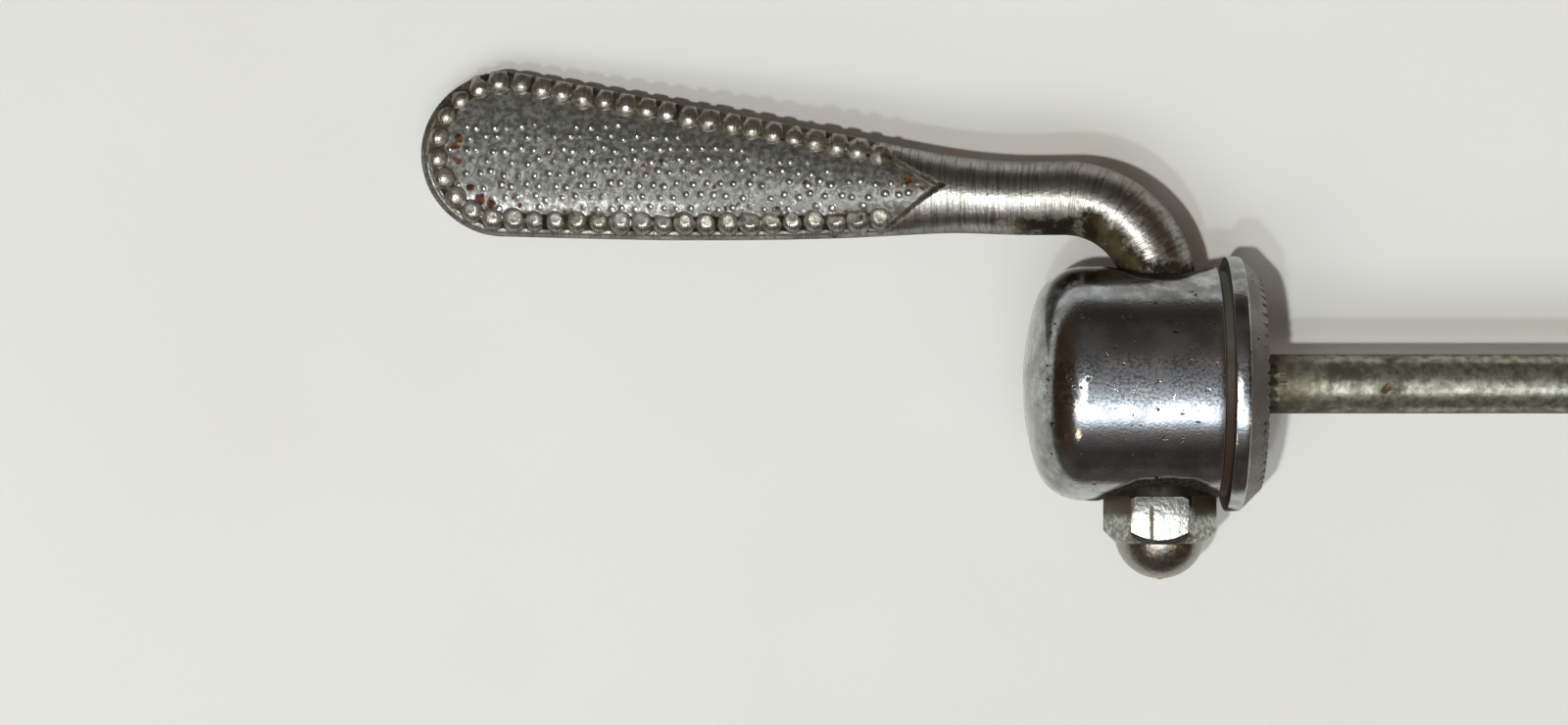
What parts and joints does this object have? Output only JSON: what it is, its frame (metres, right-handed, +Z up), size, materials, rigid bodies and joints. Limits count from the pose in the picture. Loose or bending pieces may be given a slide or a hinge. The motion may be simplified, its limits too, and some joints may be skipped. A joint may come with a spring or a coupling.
{
  "type": "quick release skewer",
  "caption": "Cam-lever quick release skewer for a bicycle wheel, with a domed housing, a beaded paddle lever, a cap nut and an adjusting nut.",
  "frame": {"origin": "centre of the housing's serrated clamp face, on the rod's axis", "axes": "+X along the rod from the housing to the adjusting nut, +Y from the rod to the lever's arm, +Z up from the table it lies on"},
  "size_m": [0.1956, 0.0418, 0.0208],
  "materials": {
    "chromed_steel": "worn polished",
    "nickelled_steel": "worn ground",
    "zinced_steel": "dull stained",
    "spring_steel": "dark drawn"
  },
  "bodies": {
    "housing": {"housing": "chromed_steel"},
    "lever": {"lever": "nickelled_steel", "acorn_nut": "zinced_steel", "lock_washer": "spring_steel"},
    "rod": {"skewer_rod": "zinced_steel"},
    "spring": {"nut_spring": "spring_steel"},
    "nut": {"adjusting_nut": "chromed_steel"}
  },
  "joints": [
    {"name": "lever_turn", "type": "hinge", "parent": "housing", "child": "lever", "pos_m": [-0.00808, 0, 0], "axis": [0, 1, 0], "range_deg": [-81.86, 98.14]},
    {"name": "rod_pull", "type": "slide", "parent": "housing", "child": "rod", "axis": [1, 0, 0], "range_m": [-0.00098, 0.00082]},
    {"name": "nut_travel", "type": "slide", "parent": "rod", "child": "spring", "axis": [1, 0, 0], "range_m": [-0.0024, 0.0024]},
    {"name": "nut_turn", "type": "hinge", "parent": "spring", "child": "nut", "pos_m": [0.11, 0, 0], "axis": [1, 0, 0], "range_deg": [-1081, 1081]}
  ],
  "couplings": [
    {"joint": "rod_pull", "follows": "lever_turn", "m_per_rad": -0.00057296},
    {"joint": "nut_turn", "follows": "nut_travel", "rad_per_m": 7854}
  ]
}
